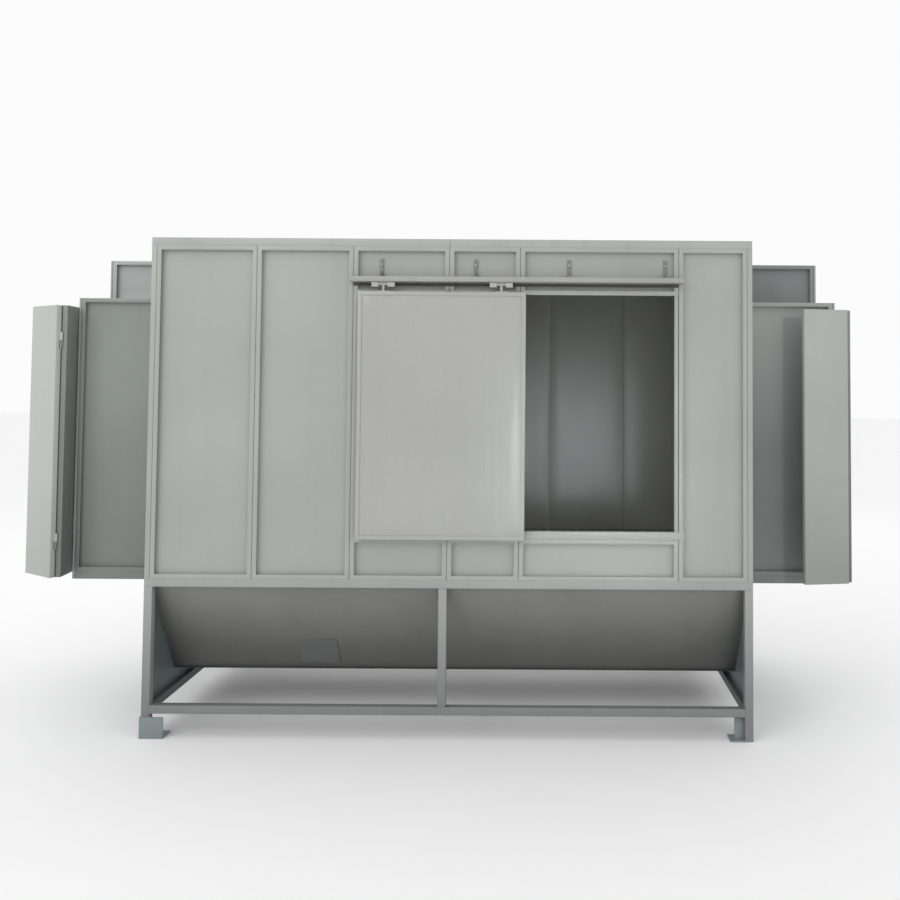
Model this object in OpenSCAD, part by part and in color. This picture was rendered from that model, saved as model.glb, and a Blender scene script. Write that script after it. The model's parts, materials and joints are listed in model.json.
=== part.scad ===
// Walk-in sandblast cabinet: bolted sheet pans on a tube stand with a hopper,
// a sliding door on an overhead track, and a stepped vestibule with folding
// baffle doors at each end. Millimetres, +X right, +Y rear, +Z up, origin on the floor.

/* [Stand] */
// Height of the stand, up to the underside of the walls
stand_h = 780; // [650:10:950]
// Side of the square stand tube
tube_s = 40; // [30:1:60]
// Wall of the square stand tube
tube_t = 3; // [2:0.5:5]
// Height of the bottom rails above the floor
low_rail_z = 120; // [90:5:180]
// Middle post, distance left of the cabinet's centre
mid_post_in = 30; // [0:5:300]
// Thickness of the foot plates
foot_t = 6; // [4:1:12]
// Height of the foot angles
foot_h = 104; // [60:2:110]
// Width of the foot plates
foot_w = 112; // [100:2:150]
// Depth of the foot plates
foot_d = 84; // [80:2:140]
// Radius of the floor anchor holes
anchor_r = 7; // [5:0.5:10]

/* [Hopper] */
// Width of the flat trough at the bottom of the hopper
trough_w = 740; // [400:10:900]
// Height of the trough floor above the floor
trough_z = 240; // [210:5:350]
// Thickness of the hopper sheets
hopper_t = 3; // [2:0.5:6]
// Inner radius of the outlet spigot
outlet_r = 100; // [60:5:150]
// Wall of the outlet spigot
outlet_t = 3; // [2:0.5:6]
// Length of the outlet spigot
outlet_l = 70; // [60:5:80]
// Radius of the outlet's bolt circle
outlet_bolt_pcr = 122; // [118:1:190]
// Radius of the outlet flange's bolt holes
outlet_hole_r = 5.5; // [4:0.5:8]

/* [Cabinet] */
// Depth of the cabinet, front face to rear face
body_d = 1400; // [1150:10:1700]
// Height of the wall panels
wall_h = 1660; // [1380:10:2000]
// Depth of a wall panel, lip face to inner sheet
pan_d = 25; // [18:1:35]
// Thickness of the panel sheet
sheet_t = 2; // [1:0.5:3]
// Width of the lips around a panel
lip_w = 22; // [15:1:30]
// Gap between two panels for the sealing strip
seam = 3; // [1:0.5:4]
// Height and width of the top capping angle
cap_h = 40; // [30:1:60]
// Thickness of the top capping angle
cap_t = 3; // [2:0.5:5]
// Width of the first front panel
panel_1_w = 505; // [400:5:610]
// Width of the second front panel
panel_2_w = 485; // [400:5:600]
// Width of the first panel behind the open door
bay_1_w = 482; // [400:2:600]
// Width of the second panel behind the open door
bay_2_w = 356; // [290:2:450]
// Width of the door opening's bay
opening_bay_w = 794; // [660:2:960]
// Width of the last front panel
right_panel_w = 345; // [280:1:450]
// Height of the aprons below the door bay
apron_h = 205; // [150:5:300]
// Height of the transoms above the door bay
transom_h = 238; // [200:2:290]
// Number of rear wall panels
rear_panel_count = 6; // [4:1:8]
// Number of roof panels
roof_panel_count = 6; // [4:1:8]

/* [Grate] */
// Height of the work grate
grate_h = 25; // [15:1:40]
// Thickness of the grate bars
bar_t = 5; // [3:1:8]
// Number of openings along one grate panel
grate_cells_x = 16; // [8:1:24]
// Number of openings across one grate panel
grate_cells_y = 4; // [2:1:8]

/* [Door] */
// Width of the door opening's side jambs
jamb_w = 20; // [14:1:30]
// Height of the sill above the aprons
sill_h = 39; // [30:1:50]
// Thickness of the door leaf
door_t = 28; // [20:1:35]
// Door overlap over the transoms' lower lips
door_over = 8; // [0:1:15]
// Door overlap past the closing jamb
door_lap = 15; // [5:1:30]
// Door overlap past the near jamb when open
door_park = 9; // [5:1:20]
// Door overlap past the near jamb when closed
door_tail = 65; // [30:1:100]
// Gap between the cabinet's front face and the door
door_gap = 12; // [8:1:20]
// Distance from a hanger to the door's edge
hanger_in = 123; // [90:1:200]
// Height of the track
track_h = 25; // [25:1:34]
// Depth of the track
track_d = 44; // [40:1:56]
// Wall of the track
track_t = 3; // [2:0.5:4]
// Height of the track's underside above the door
track_up = 50; // [40:1:60]
// Radius of a trolley wheel
wheel_r = 8; // [7:0.5:9]
// Radius of a trolley wheel's axle
axle_r = 3; // [2.5:0.5:4]
// Half the distance between the two axles of a trolley
wheel_in = 40; // [30:1:60]

/* [Vestibules] */
// Length of a vestibule
vest_l = 500; // [400:10:620]
// Width of a vestibule
vest_w = 880; // [740:10:1060]
// How far a vestibule hangs below the walls
vest_drop = 64; // [40:2:80]
// Width of the hook slot's hood
hood_w = 248; // [200:2:300]
// Height of the hook slot's hood
hood_h = 244; // [200:2:300]
// Depth of the end frame
end_frame_d = 10; // [8:1:30]
// Height of the end frame's top and bottom bars
end_bar = 30; // [25:1:50]
// Height of the rails under the vestibule's side panels
base_rail_h = 40; // [30:1:60]
// Width of the end frame's stiles
stile_w = 30; // [25:1:40]

/* [Baffle doors] */
// Thickness of a baffle leaf
leaf_t = 26; // [22:1:32]
// Sheet of a baffle leaf
leaf_sheet = 2; // [1:0.5:3]
// Distance between the two hinge pins of the leaf next to the stile
leaf_pitch = 158; // [130:2:210]
// Gap between a leaf and the pin it turns on
leaf_gap = 2; // [1:0.5:4]
// Gap below a leaf
leaf_low_gap = 5; // [3:1:10]
// Gap above a leaf
leaf_top_gap = 20; // [3:1:30]
// Radius of a hinge barrel
barrel_r = 8; // [7:0.5:10]
// Radius of a hinge pin
pin_r = 5; // [3:0.5:6]
// Radial clearance of a hinge pin or an axle
run_gap = 0.05; // [0.02:0.01:0.1]
// Length of one half of a hinge barrel
barrel_l = 40; // [25:1:60]
// Angle of the left stile leaves from closed
left_leaf_angle = 185; // [90:1:185]
// Angle of the left free leaves from the leaf that carries them
left_fold_angle = -127; // [-130:1:0]
// Angle of the right stile leaves from closed
right_leaf_angle = 178; // [90:1:185]
// Angle of the right free leaves from the leaf that carries them
right_fold_angle = 84; // [0:1:106]

/* [Hidden] */
$fn = 48;

// Paint shades
shell_grey = [0.70, 0.71, 0.69];
door_grey = [0.71, 0.72, 0.69];
frame_grey = [0.52, 0.54, 0.54];
hopper_grey = [0.50, 0.51, 0.49];
vest_grey = [0.60, 0.62, 0.60];
leaf_grey = [0.70, 0.72, 0.71];
zinc_grey = [0.42, 0.43, 0.44];

// Overlap that keeps a cut clear of the face it starts from
cut = 1;

// Cabinet outline
post_s = pan_d;
body_w = 2 * post_s + panel_1_w + panel_2_w + bay_1_w + bay_2_w + opening_bay_w + right_panel_w;
half_w = body_w / 2;
half_d = body_d / 2;
wall_z = stand_h;
wall_top = wall_z + wall_h;
body_top = wall_top + cap_h;

// Front joints, from left to right
panel_1_x = -half_w + post_s;
panel_2_x = panel_1_x + panel_1_w;
bay_1_x = panel_2_x + panel_2_w;
bay_2_x = bay_1_x + bay_1_w;
opening_x = bay_2_x + bay_2_w;
right_panel_x = opening_x + opening_bay_w;

// Door opening
bay_z = wall_z + apron_h;
bay_top = wall_top - transom_h;
clear_x0 = opening_x + jamb_w;
clear_x1 = right_panel_x - jamb_w;
sill_lip_t = 4;
sill_past = 28;

// Door leaf, open at rest
door_w = clear_x1 - clear_x0 + door_lap + door_tail;
door_x1 = clear_x0 + door_park;
door_x0 = door_x1 - door_w;
door_travel = clear_x1 + door_lap - door_x1;
door_z0 = bay_z;
door_z1 = bay_top + door_over;
door_back = -half_d - door_gap;
door_front = door_back - door_t;
hanger_out = 2;
door_mid = door_back - door_t / 2 - hanger_out;
border_w = 20;
border_t = 3;

// Track and trolleys
track_past = [45, 25];
track_x0 = door_x0 - track_past[0];
track_x1 = door_x1 + door_travel + track_past[1];
track_z0 = door_z1 + track_up;
track_slot = 14;
lip_gap = 0.3;
axle_z = track_z0 + track_t + lip_gap + wheel_r;
hanger_x = [door_x0 + hanger_in, door_x1 - hanger_in];
hanger_t = 10;
wheel_w = 9;
wheel_side_gap = 3;
wheel_x = [for (x = hanger_x, side = [-1, 1]) x + side * wheel_in];
trolley_block = [34, 28, 24];
stem_r = 7;
plate_past = 15;
plate_drop = 18;
block_gap = 2;
hanger_foot = [60, 20, 4];

// Track brackets, each tied to its own transom
bracket_x = [bay_1_x + 138, bay_2_x + 130, opening_x + 244, right_panel_x - 65];
bracket_w = 18;
bracket_t = 5;
bracket_h = 95;
bolt_r = 4;
bolt_hole_r = 4.5;
bolt_head_r = 7.5;
bolt_head_h = 5.5;
bolt_past = 9;
bolt_up = 66;

// Vestibules
vest_z = wall_z - vest_drop;
vest_top = wall_top - hood_h;
vest_half = vest_w / 2;
vest_pan_l = vest_l - end_frame_d;
pass_half = vest_half - pan_d;
slot_half = hood_w / 2 - pan_d;
end_x = half_w + vest_l;

// Baffle leaves: pin place measured from the vestibule's outer corner
pin_out = 8;
pin_in = stile_w + 6;
leaf_z = vest_z + end_bar + leaf_low_gap;
leaf_h = vest_top - vest_z - 2 * end_bar - leaf_low_gap - leaf_top_gap;
leaf_meet_gap = 10;
free_leaf_w = vest_half - pin_in - leaf_meet_gap - leaf_pitch;
hinge_z = [leaf_h * 0.13, leaf_h * 0.87];
barrel_gap = 0.5;
notch_gap = 2;
pin_l = 34;
bore_past = 2;
lug_s = 12;

// Square tube standing on its end
module tube_z(l) difference() {
    cube([tube_s, tube_s, l]);
    translate([tube_t, tube_t, -cut]) cube([tube_s - 2 * tube_t, tube_s - 2 * tube_t, l + 2 * cut]);
}

module tube_x(l) rotate([0, 90, 0]) translate([-tube_s, 0, 0]) tube_z(l);

module tube_y(l) rotate([-90, 0, 0]) translate([0, -tube_s, 0]) tube_z(l);

// Copy for the two sides, or for front and rear
module both_x() {
    children();
    mirror([1, 0, 0]) children();
}

module both_y() {
    children();
    mirror([0, 1, 0]) children();
}

// Folded sheet pan: lips face -Y, sheet at the back, side walls set in by half a seam
module pan(w, h, d = pan_d) translate([seam / 2, 0, 0]) difference() {
    cube([w - seam, d, h]);
    translate([sheet_t, sheet_t, sheet_t])
        cube([w - seam - 2 * sheet_t, d - 2 * sheet_t, h - 2 * sheet_t]);
    translate([lip_w, -cut, lip_w])
        cube([w - seam - 2 * lip_w, sheet_t + 2 * cut, h - 2 * lip_w]);
}

module front_pan(x, w, z, h) translate([x, -half_d, z]) pan(w, h);

module rear_pan(x, w, z, h) translate([x + w, half_d, z]) rotate([0, 0, 180]) pan(w, h);

// Pan of an end wall on the left, from y0 towards +Y
module end_pan(y0, w, z, h) translate([-half_w, y0 + w, z]) rotate([0, 0, -90]) pan(w, h);

// Pan with its lips up, its lips at z
module roof_pan(x, w, y, l, z, d = pan_d) translate([x, y, z]) rotate([-90, 0, 0]) pan(w, l, d);

// Pan with its lips down, its lips at z
module floor_pan(x, w, y, l, z) translate([x, y + l, z]) rotate([90, 0, 0]) pan(w, l);

// ---- Stand ----
module stand_legs() color(frame_grey) both_x() both_y()
    translate([-half_w, -half_d, foot_t]) tube_z(stand_h - tube_s - foot_t);

anchor_in = [37, 24];
angle_in = 27;

module anchor_hole() translate([foot_w - anchor_in[0], foot_d - anchor_in[1], -cut])
    cylinder(r = anchor_r, h = foot_t + 2 * cut);

// Foot with its angle wrapped round the outside of the leg
module left_foot() difference() {
    union() {
        cube([foot_w, foot_d, foot_t]);
        translate([-foot_t, -foot_t, 0]) cube([foot_w + foot_t, foot_t, foot_h]);
        translate([-foot_t, -foot_t, 0]) cube([foot_t, foot_d, foot_h]);
    }
    anchor_hole();
}

// Foot with its angle behind the leg
module right_foot() difference() {
    union() {
        cube([foot_w, foot_d, foot_t]);
        translate([0, tube_s, 0]) cube([foot_w - angle_in, foot_t, foot_h]);
        translate([0, tube_s, 0]) cube([foot_t, foot_d - tube_s, foot_h]);
    }
    anchor_hole();
}

module left_feet() color(frame_grey) both_y() translate([-half_w, -half_d, 0]) left_foot();

module right_feet() color(frame_grey)
    both_y() mirror([1, 0, 0]) translate([-half_w, -half_d, 0]) right_foot();

module mid_posts() color(frame_grey) both_y()
    translate([-mid_post_in - tube_s / 2, -half_d, low_rail_z + tube_s])
        tube_z(stand_h - 2 * tube_s - low_rail_z);

module stand_top_rails() color(frame_grey) {
    both_y() translate([-half_w, -half_d, stand_h - tube_s]) tube_x(body_w);
    both_x() translate([-half_w, -half_d + tube_s, stand_h - tube_s]) tube_y(body_d - 2 * tube_s);
}

module stand_bottom_rails() color(frame_grey) {
    both_y() translate([-half_w + tube_s, -half_d, low_rail_z]) tube_x(body_w - 2 * tube_s);
    both_x() translate([-half_w, -half_d + tube_s, low_rail_z]) tube_y(body_d - 2 * tube_s);
}

// ---- Hopper ----
hopper_half_l = half_w - tube_s / 2 + hopper_t;
slope_top_y = half_d - tube_s;
slope_top_z = stand_h - tube_s;

module hopper_slope() {
    trough_half = trough_w / 2;
    rise = slope_top_z - trough_z;
    run = slope_top_y - trough_half;
    skew = hopper_t * sqrt(rise * rise + run * run) / rise;
    translate([-hopper_half_l, 0, 0]) rotate([90, 0, 90]) linear_extrude(2 * hopper_half_l)
        polygon([[-trough_half - skew, trough_z], [-trough_half, trough_z],
            [-slope_top_y + skew, slope_top_z], [-slope_top_y, slope_top_z]]);
}

module hopper_front_slope() color(hopper_grey) hopper_slope();

module hopper_rear_slope() color(hopper_grey) mirror([0, 1, 0]) hopper_slope();

module trough_floor() color(hopper_grey) difference() {
    translate([-hopper_half_l, -trough_w / 2 - hopper_t, trough_z - hopper_t])
        cube([2 * hopper_half_l, trough_w + 2 * hopper_t, hopper_t]);
    translate([0, 0, trough_z - hopper_t - cut])
        cylinder(r = outlet_r + outlet_t + lip_gap, h = hopper_t + 2 * cut);
}

module left_hopper_end() color(hopper_grey)
    translate([-hopper_half_l - hopper_t, -half_d + tube_s, low_rail_z + tube_s])
        cube([hopper_t, body_d - 2 * tube_s, stand_h - 2 * tube_s - low_rail_z]);

module right_hopper_end() mirror([1, 0, 0]) left_hopper_end();

flange_past = 18;

module outlet_spigot() color(hopper_grey) translate([0, 0, trough_z - outlet_l]) difference() {
    union() {
        cylinder(r = outlet_r + outlet_t, h = outlet_l);
        cylinder(r = outlet_bolt_pcr + flange_past, h = foot_t);
    }
    translate([0, 0, -cut]) cylinder(r = outlet_r, h = outlet_l + 2 * cut);
    for (a = [0:45:315]) rotate([0, 0, a]) translate([outlet_bolt_pcr, 0, -cut])
        cylinder(r = outlet_hole_r, h = foot_t + 2 * cut);
}

// ---- Work grate ----
grate_ledge = 3;
grate_w = (body_w - 2 * pan_d - 2 * grate_ledge) / 3;
grate_l = body_d - 2 * pan_d - 2 * grate_ledge;

module grate_beams() color(frame_grey) both_x()
    translate([-grate_w / 2 - tube_s / 2, -half_d + tube_s, stand_h - tube_s]) tube_y(body_d - 2 * tube_s);

module grate_panel() {
    cell_w = (grate_w - seam - bar_t) / grate_cells_x;
    cell_l = (grate_l - bar_t) / grate_cells_y;
    difference() {
        cube([grate_w - seam, grate_l, grate_h]);
        for (i = [0:grate_cells_x - 1], j = [0:grate_cells_y - 1])
            translate([bar_t + i * cell_w, bar_t + j * cell_l, -cut])
                cube([cell_w - bar_t, cell_l - bar_t, grate_h + 2 * cut]);
    }
}

module grate_panels() color(zinc_grey) for (i = [-1:1])
    translate([(i - 0.5) * grate_w + seam / 2, -grate_l / 2, stand_h]) grate_panel();

// ---- Walls ----
module corner_post() difference() {
    cube([post_s, post_s, wall_h]);
    translate([sheet_t, sheet_t, -cut])
        cube([post_s - 2 * sheet_t, post_s - 2 * sheet_t, wall_h + 2 * cut]);
}

module corner_posts() color(shell_grey) both_x() both_y()
    translate([-half_w, -half_d, wall_z]) corner_post();

module front_panel_1() color(shell_grey) front_pan(panel_1_x, panel_1_w, wall_z, wall_h);

module front_panel_2() color(shell_grey) front_pan(panel_2_x, panel_2_w, wall_z, wall_h);

module right_front_panel() color(shell_grey)
    front_pan(right_panel_x, right_panel_w, wall_z, wall_h);

module door_bay_panel_1() color(shell_grey) front_pan(bay_1_x, bay_1_w, bay_z, bay_top - bay_z);

module door_bay_panel_2() color(shell_grey) front_pan(bay_2_x, bay_2_w, bay_z, bay_top - bay_z);

// Transom with the holes for the track brackets' bolts
module transom(x, w) color(shell_grey) difference() {
    front_pan(x, w, bay_top, transom_h);
    for (bx = bracket_x) translate([bx, -half_d, track_z0 + track_h + bolt_up])
        rotate([-90, 0, 0]) cylinder(r = bolt_hole_r, h = pan_d + cut);
}

module transom_1() transom(bay_1_x, bay_1_w);

module transom_2() transom(bay_2_x, bay_2_w);

module transom_3() transom(opening_x, opening_bay_w);

module apron_1() color(shell_grey) front_pan(bay_1_x, bay_1_w, wall_z, apron_h);

module apron_2() color(shell_grey) front_pan(bay_2_x, bay_2_w, wall_z, apron_h);

module apron_3() color(shell_grey) front_pan(opening_x, opening_bay_w, wall_z, apron_h);

// Jambs at both sides of the door opening, from the sill up to the transom
module opening_jambs() color(shell_grey) for (x = [opening_x + seam / 2, clear_x1])
    translate([x, -half_d, bay_z + sill_h])
        cube([jamb_w - seam / 2, pan_d, bay_top - bay_z - sill_h]);

module sill() color(shell_grey) translate([opening_x, -half_d, bay_z]) {
    translate([seam / 2, 0, 0]) cube([opening_bay_w - seam, pan_d, sill_h]);
    translate([seam / 2, -sill_lip_t, 0]) cube([opening_bay_w + sill_past, sill_lip_t, sill_h]);
}

module rear_wall_panels() color(shell_grey) {
    w = (body_w - 2 * post_s) / rear_panel_count;
    for (i = [0:rear_panel_count - 1]) rear_pan(panel_1_x + i * w, w, wall_z, wall_h);
}

module roof_panels() color(shell_grey) {
    w = (body_w - 2 * cap_t) / roof_panel_count;
    for (i = [0:roof_panel_count - 1])
        roof_pan(-half_w + cap_t + i * w, w, -half_d + cap_t, body_d - 2 * cap_t,
            body_top - cap_t, cap_h - cap_t);
}

// Capping angles: front and rear run through, the end ones fit between
module cap_angle(l) {
    cube([l, cap_t, cap_h]);
    translate([0, 0, cap_h - cap_t]) cube([l, cap_h, cap_t]);
}

module top_caps() color(shell_grey) {
    both_y() translate([-half_w, -half_d, wall_top]) cap_angle(body_w);
    both_x() translate([-half_w, half_d - cap_h - seam / 2, wall_top]) rotate([0, 0, -90])
        cap_angle(body_d - 2 * cap_h - seam);
}

module left_end_wall() color(shell_grey) {
    both_y() end_pan(-half_d + post_s, half_d - post_s - pass_half, wall_z, wall_h);
    both_y() end_pan(-pass_half, pass_half - slot_half, vest_top - pan_d,
        wall_top - vest_top + pan_d);
    translate([-half_w, -slot_half + seam / 2, wall_top - pan_d])
        cube([pan_d, 2 * slot_half - seam, pan_d]);
}

module right_end_wall() mirror([1, 0, 0]) left_end_wall();

// ---- Vestibules ----
module left_vestibule_sides() color(vest_grey) both_y()
    translate([-half_w - vest_pan_l, -vest_half, vest_z + base_rail_h])
        pan(vest_pan_l, vest_top - vest_z - base_rail_h);

module right_vestibule_sides() mirror([1, 0, 0]) left_vestibule_sides();

module left_vestibule_roof() color(vest_grey) both_y()
    roof_pan(-half_w - vest_pan_l, vest_pan_l, -pass_half, pass_half - slot_half, vest_top);

module right_vestibule_roof() mirror([1, 0, 0]) left_vestibule_roof();

// Hollow rail under a side panel
module base_rail() difference() {
    cube([vest_pan_l, pan_d, base_rail_h]);
    translate([-cut, sheet_t, sheet_t])
        cube([vest_pan_l + 2 * cut, pan_d - 2 * sheet_t, base_rail_h - 2 * sheet_t]);
}

// Floor pan between its two base rails
module left_vestibule_floor() color(vest_grey) {
    floor_pan(-half_w - vest_pan_l, vest_pan_l, -pass_half + seam / 2, 2 * pass_half - seam, vest_z);
    both_y() translate([-half_w - vest_pan_l, -vest_half, vest_z]) base_rail();
}

module right_vestibule_floor() mirror([1, 0, 0]) left_vestibule_floor();

module left_slot_hood() color(vest_grey) {
    both_y() translate([-half_w - vest_pan_l, -hood_w / 2, vest_top]) pan(vest_pan_l, hood_h);
    roof_pan(-half_w - vest_pan_l, vest_pan_l, -slot_half, 2 * slot_half, wall_top);
}

module right_slot_hood() mirror([1, 0, 0]) left_slot_hood();

// Place at the rear right corner of the right vestibule's end; other corners are mirrored
module at_corner(side, face) mirror([side < 0 ? 1 : 0, 0, 0]) mirror([0, face < 0 ? 1 : 0, 0])
    translate([end_x, vest_half, 0]) children();

// Lower half of a hinge, with its pin
module hinge_lower() {
    translate([0, 0, -barrel_l]) cylinder(r = barrel_r, h = barrel_l);
    cylinder(r = pin_r, h = pin_l);
}

// Stepped end frame, half of it: stile, bars, and the hood's stile and top
module half_end_frame() {
    translate([-end_frame_d, -stile_w, vest_z]) cube([end_frame_d, stile_w, vest_top - vest_z]);
    translate([-end_frame_d, -vest_half, vest_z]) cube([end_frame_d, vest_half, end_bar]);
    translate([-end_frame_d, -vest_half + slot_half, vest_top - end_bar])
        cube([end_frame_d, vest_half - slot_half, end_bar]);
    translate([-end_frame_d, -vest_half + slot_half, vest_top - cut])
        cube([end_frame_d, pan_d, hood_h + cut]);
    translate([-end_frame_d, -vest_half, wall_top - pan_d])
        cube([end_frame_d, hood_w / 2, pan_d]);
    for (h = hinge_z) translate([0, 0, leaf_z + h]) {
        translate([pin_out, -pin_in, 0]) hinge_lower();
        translate([-lug_s / 2, -pin_in, -barrel_l]) cube([lug_s, lug_s, barrel_l]);
    }
}

module right_end_frame() color(vest_grey) union() {
    at_corner(1, 1) half_end_frame();
    at_corner(1, -1) half_end_frame();
}

module left_end_frame() mirror([1, 0, 0]) right_end_frame();

// ---- Baffle leaves, drawn from their pin along +X with their outer face at +Y ----
module leaf_box(x0, x1, y0) difference() {
    translate([x0, y0, 0]) cube([x1 - x0, leaf_t, leaf_h]);
    translate([x0 + leaf_sheet, y0 + leaf_sheet, -cut])
        cube([x1 - x0 - 2 * leaf_sheet, leaf_t - 2 * leaf_sheet, leaf_h - leaf_sheet + cut]);
}

module upper_barrels() for (h = hinge_z) translate([0, 0, h + barrel_gap])
    cylinder(r = barrel_r, h = barrel_l);

module upper_bores() for (h = hinge_z) translate([0, 0, h - cut])
    cylinder(r = pin_r + run_gap, h = pin_l + bore_past + cut);

// Room for the other half of the hinge, below or above the joint
module lower_notches() for (h = hinge_z) translate([0, 0, h - barrel_l - notch_gap])
    cylinder(r = barrel_r + notch_gap, h = barrel_l + notch_gap + barrel_gap / 2);

module upper_notches() for (h = hinge_z) translate([0, 0, h + barrel_gap / 2])
    cylinder(r = barrel_r + notch_gap, h = barrel_l + notch_gap);

module stile_leaf_shape(far_pin_y) {
    difference() {
        union() {
            difference() {
                leaf_box(leaf_gap, leaf_pitch - leaf_gap, -leaf_t);
                lower_notches();
                translate([leaf_pitch, far_pin_y, 0]) upper_notches();
            }
            upper_barrels();
            for (h = hinge_z) translate([leaf_pitch, far_pin_y, h]) hinge_lower();
        }
        upper_bores();
    }
}

module free_leaf_shape(near_y) difference() {
    union() {
        difference() {
            leaf_box(leaf_gap, free_leaf_w, near_y);
            lower_notches();
        }
        upper_barrels();
    }
    upper_bores();
}

// Fold to the inside has its pin on the inner face, fold to the outside on the outer one
function far_pin_y(side) = side < 0 ? -leaf_t : 0;

function free_leaf_y(side) = side < 0 ? 0 : -leaf_t;

function stile_angle(side) = side < 0 ? left_leaf_angle : right_leaf_angle;

function fold_angle(side) = side < 0 ? left_fold_angle : right_fold_angle;

module at_stile_pin(side, face) at_corner(side, face) translate([pin_out, -pin_in, leaf_z])
    rotate([0, 0, stile_angle(side) - 90]) children();

module stile_leaf(side, face) color(leaf_grey)
    at_stile_pin(side, face) stile_leaf_shape(far_pin_y(side));

module free_leaf(side, face) color(leaf_grey)
    at_stile_pin(side, face) translate([leaf_pitch, far_pin_y(side), 0])
        rotate([0, 0, fold_angle(side)]) free_leaf_shape(free_leaf_y(side));

// ---- Sliding door ----
module track_rail() color(zinc_grey) difference() {
    translate([track_x0, door_mid - track_d / 2, track_z0])
        cube([track_x1 - track_x0, track_d, track_h]);
    translate([track_x0 + track_t, door_mid - track_d / 2 + track_t, track_z0 + track_t])
        cube([track_x1 - track_x0 - 2 * track_t, track_d - 2 * track_t, track_h - 2 * track_t]);
    translate([track_x0 + track_t, door_mid - track_slot / 2, track_z0 - cut])
        cube([track_x1 - track_x0 - 2 * track_t, track_slot, track_t + 2 * cut]);
}

// Bracket from a transom's sheet out over the track
module track_bracket() {
    sheet_y = -half_d + pan_d - sheet_t;
    reach = sheet_y - door_mid + track_d / 2;
    difference() {
        union() {
            translate([-bracket_w / 2, -bracket_t, 0]) cube([bracket_w, bracket_t, bracket_h]);
            translate([-bracket_w / 2, -reach, 0]) cube([bracket_w, reach, bracket_t]);
            translate([-bracket_t / 2, 0, 0]) rotate([90, 0, 90]) linear_extrude(bracket_t)
                polygon([[-bracket_t, bracket_t], [-reach, bracket_t], [-bracket_t, bolt_up / 2]]);
        }
        translate([0, cut, bolt_up]) rotate([90, 0, 0]) cylinder(r = bolt_hole_r, h = bracket_t + 2 * cut);
    }
}

module track_brackets() color(zinc_grey) for (x = bracket_x)
    translate([x, -half_d + pan_d - sheet_t, track_z0 + track_h]) track_bracket();

// Bolt through a bracket and the transom's sheet, with its nut inside the cabinet
module bracket_bolt() rotate([-90, 0, 0]) {
    translate([0, 0, -bracket_t - bolt_head_h]) cylinder(r = bolt_head_r, h = bolt_head_h, $fn = 6);
    translate([0, 0, -bracket_t - cut]) cylinder(r = bolt_r, h = bracket_t + sheet_t + bolt_past + cut);
    translate([0, 0, sheet_t]) cylinder(r = bolt_head_r, h = bolt_head_h, $fn = 6);
}

module bracket_bolts() color(zinc_grey) for (x = bracket_x)
    translate([x, -half_d + pan_d - sheet_t, track_z0 + track_h + bolt_up]) bracket_bolt();

// Door: a pan with its lips to the rear and a flat border on its face
module door_leaf() color(door_grey) union() {
    translate([door_x1 + seam / 2, door_back, door_z0]) rotate([0, 0, 180])
        pan(door_w + seam, door_z1 - door_z0, door_t);
    translate([door_x0, door_front - border_t, door_z0]) difference() {
        cube([door_w, border_t + sheet_t / 2, door_z1 - door_z0]);
        translate([border_w, -cut, border_w])
            cube([door_w - 2 * border_w, border_t + sheet_t + 2 * cut, door_z1 - door_z0 - 2 * border_w]);
    }
}

// Trolley plate with its two blocks, stem and the foot on the door's top edge
module door_hanger() {
    plate_z = axle_z - track_z0;
    difference() {
        union() {
            translate([-wheel_in - plate_past, -hanger_t / 2, -plate_drop])
                cube([2 * (wheel_in + plate_past), hanger_t, plate_z + plate_drop + wheel_r / 2]);
            for (side = [-1, 1]) translate([side * wheel_in, 0, -block_gap - trolley_block[2] / 2])
                cube(trolley_block, center = true);
            translate([0, 0, -track_up]) cylinder(r = stem_r, h = track_up - block_gap);
            translate([0, 0, hanger_foot[2] / 2 - track_up]) cube(hanger_foot, center = true);
        }
        for (side = [-1, 1]) translate([side * wheel_in, hanger_t / 2 + cut, plate_z])
            rotate([90, 0, 0]) cylinder(r = axle_r + run_gap, h = hanger_t + 2 * cut);
    }
}

module door_hangers() color(zinc_grey) for (x = hanger_x)
    translate([x, door_mid, track_z0]) door_hanger();

// Wheel set: an axle with a wheel at each side of the trolley plate
module wheel_set(x) color(zinc_grey) translate([x, door_mid, axle_z]) rotate([90, 0, 0]) union() {
    span = hanger_t / 2 + wheel_side_gap + wheel_w;
    translate([0, 0, -span]) cylinder(r = axle_r, h = 2 * span);
    for (side = [-1, 1]) translate([0, 0, side * (span - wheel_w / 2) - wheel_w / 2])
        cylinder(r = wheel_r, h = wheel_w);
}

stand_legs();
left_feet();
right_feet();
mid_posts();
stand_top_rails();
stand_bottom_rails();
hopper_front_slope();
hopper_rear_slope();
trough_floor();
left_hopper_end();
right_hopper_end();
outlet_spigot();
grate_beams();
grate_panels();
corner_posts();
front_panel_1();
front_panel_2();
right_front_panel();
door_bay_panel_1();
door_bay_panel_2();
transom_1();
transom_2();
transom_3();
apron_1();
apron_2();
apron_3();
opening_jambs();
sill();
rear_wall_panels();
roof_panels();
top_caps();
left_end_wall();
right_end_wall();
left_vestibule_sides();
right_vestibule_sides();
left_vestibule_roof();
right_vestibule_roof();
left_vestibule_floor();
right_vestibule_floor();
left_slot_hood();
right_slot_hood();
left_end_frame();
right_end_frame();
track_rail();
track_brackets();
bracket_bolts();
door_leaf();
door_hangers();
wheel_set(wheel_x[0]);  // wheel_1
wheel_set(wheel_x[1]);  // wheel_2
wheel_set(wheel_x[2]);  // wheel_3
wheel_set(wheel_x[3]);  // wheel_4
stile_leaf(-1, -1);  // left_front_stile_leaf
free_leaf(-1, -1);  // left_front_free_leaf
stile_leaf(-1, 1);  // left_rear_stile_leaf
free_leaf(-1, 1);  // left_rear_free_leaf
stile_leaf(1, -1);  // right_front_stile_leaf
free_leaf(1, -1);  // right_front_free_leaf
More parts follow.
